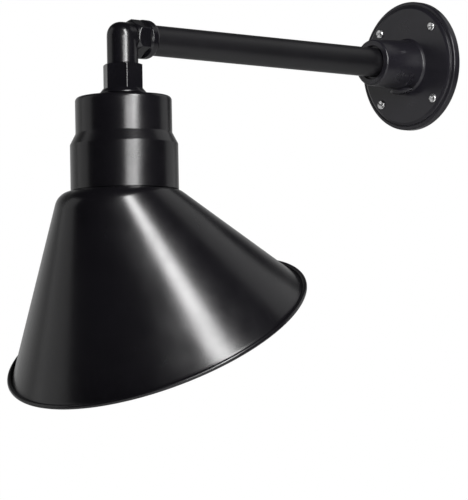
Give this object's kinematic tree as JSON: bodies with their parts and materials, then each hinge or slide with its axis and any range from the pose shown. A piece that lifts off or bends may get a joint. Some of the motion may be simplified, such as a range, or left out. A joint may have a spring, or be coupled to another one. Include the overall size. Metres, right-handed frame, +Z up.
{
  "type": "angled-shade wall light",
  "caption": "Wall light with a round cast cover, a straight arm, a swivel elbow and an angled cone shade that turns about its neck.",
  "frame": {"origin": "centre of the wall plane, at the back of the cover's gasket, on the arm's axis", "axes": "+Y goes into the wall, square to it; the arm runs along -Y; +Z is up"},
  "size_m": [0.2596, 0.4523, 0.3632],
  "materials": {
    "cast_black": "semi-gloss black powder coat on cast aluminium",
    "spun_black": "semi-gloss black powder coat on spun aluminium",
    "tube_black": "satin black powder coat on drawn tube",
    "chrome_screw": "bright nickel-plated steel",
    "zinc_steel": "zinc-plated steel",
    "green_steel": "green-dyed steel screw",
    "brass_plain": "plain brass",
    "rubber_black": "matt sealing rubber",
    "wire_black": "wire insulation",
    "wire_white": "wire insulation",
    "wire_green": "wire insulation",
    "connector_plastic": "moulded twist-on connector",
    "white_plastic": "moulded bushing",
    "lead_sleeve": "woven glass sleeve over the leads",
    "porcelain": "glazed porcelain",
    "cap_metal": "plain lamp cap",
    "cap_insulator": "black glass insulator with its contact",
    "bulb_frost": "frosted glass"
  },
  "bodies": {
    "wall": {"wall_cover": "cast_black", "cover_gasket": "rubber_black", "cover_screws": "chrome_screw", "arm_set_screw": "zinc_steel", "ground_screw": "green_steel", "ground_terminal": "brass_plain", "live_wire": "wire_black", "neutral_wire": "wire_white", "ground_wire": "wire_green", "wire_connectors": "connector_plastic"},
    "arm": {"arm_tube": "tube_black", "arm_lock_nut": "zinc_steel", "lead_bushings": "white_plastic", "arm_lead": "lead_sleeve"},
    "elbow": {"elbow_body": "cast_black", "gland_cap": "cast_black", "gland_seal": "rubber_black", "swivel_nut": "cast_black", "swivel_flange": "cast_black", "swivel_nipple": "zinc_steel", "lock_nut": "zinc_steel", "elbow_lead": "lead_sleeve"},
    "head": {"neck_housing": "spun_black", "neck_gasket": "rubber_black", "spring_washer": "zinc_steel", "holder_bracket": "zinc_steel", "bracket_screws": "zinc_steel", "lampholder_body": "porcelain", "holder_screws": "zinc_steel", "screw_shell": "brass_plain", "centre_contact": "brass_plain", "terminal_screws": "brass_plain", "live_tail": "wire_black", "neutral_tail": "wire_white", "bulb_cap": "cap_metal", "bulb_contact": "cap_insulator", "bulb_glass": "bulb_frost", "shade": "spun_black", "shade_seal": "rubber_black", "shade_screws": "zinc_steel"}
  },
  "joints": [
    {"name": "arm_turn", "type": "hinge", "parent": "wall", "child": "arm", "pos_m": [0, 0, 0], "axis": [0, 1, 0], "range_deg": [-90, 90]},
    {"name": "elbow_turn", "type": "hinge", "parent": "arm", "child": "elbow", "pos_m": [0, -0.342, 0], "axis": [0, 1, 0], "range_deg": [-90, 90]},
    {"name": "head_swivel", "type": "hinge", "parent": "elbow", "child": "head", "pos_m": [0, -0.342, -0.047], "axis": [0, 0, 1], "range_deg": [-170, 170]}
  ]
}
